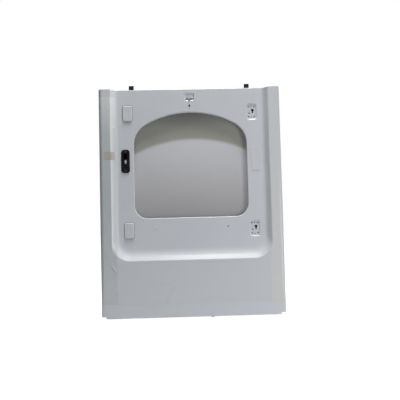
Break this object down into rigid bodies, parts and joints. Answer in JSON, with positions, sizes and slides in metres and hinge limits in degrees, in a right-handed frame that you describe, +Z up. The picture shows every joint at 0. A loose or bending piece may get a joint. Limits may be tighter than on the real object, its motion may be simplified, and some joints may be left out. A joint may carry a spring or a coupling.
{
  "type": "dryer front frame",
  "caption": "Pressed steel front frame of a tumble dryer: domed door opening in a U-shaped recess, hinge pockets, blank caps, sprung roller latch, door switch and top bumpers.",
  "frame": {"origin": "bottom centre of the bounding box: middle of the width, middle of the depth, lowest point of the locating dimple", "axes": "+X to the right seen from the front, +Y into the machine, +Z up"},
  "size_m": [0.686, 0.05, 0.882],
  "materials": {
    "white_paint": "satin",
    "zinc_steel": "satin",
    "spring_steel": "satin",
    "dark_screw": "satin",
    "white_plastic": "gloss",
    "black_plastic": "matte",
    "grey_nylon": "satin",
    "black_rubber": "matte"
  },
  "bodies": {
    "frame": {"front_panel": "white_paint", "hinge_plate_lower_left": "zinc_steel", "hinge_plate_upper_left": "zinc_steel", "hinge_plate_lower_right": "zinc_steel", "hinge_plate_upper_right": "zinc_steel", "hinge_cap_lower": "white_plastic", "hinge_cap_upper": "white_plastic", "latch_housing": "black_plastic", "latch_pivot_pin": "zinc_steel", "latch_spring": "spring_steel", "latch_screw_lower": "dark_screw", "latch_screw_upper": "dark_screw", "latch_hole_cover": "white_plastic", "switch_body": "black_plastic", "switch_pin": "zinc_steel", "switch_screw": "dark_screw", "bumper_left": "black_rubber", "bumper_right": "black_rubber", "duct_plug": "white_plastic"},
    "latch_arm": {"latch_lever": "grey_nylon", "latch_roller_pin": "zinc_steel"},
    "latch_wheel": {"latch_roller": "grey_nylon"},
    "switch_arm": {"switch_actuator": "grey_nylon"}
  },
  "joints": [
    {"name": "latch_arm_turn", "type": "hinge", "parent": "frame", "child": "latch_arm", "pos_m": [-0.24653, 0.008, 0.56594], "axis": [-1, 0, 0], "range_deg": [0, 18], "stiffness_Nm_per_rad": 0.4, "springref_deg": -17.19},
    {"name": "latch_wheel_spin", "type": "hinge", "parent": "latch_arm", "child": "latch_wheel", "pos_m": [-0.24653, 0.0002, 0.58744], "axis": [1, 0, 0], "continuous": true},
    {"name": "switch_arm_turn", "type": "hinge", "parent": "frame", "child": "switch_arm", "pos_m": [0, 0.0055, 0.8238], "axis": [-1, 0, 0], "range_deg": [0, 8], "stiffness_Nm_per_rad": 0.02, "springref_deg": -17.19}
  ]
}
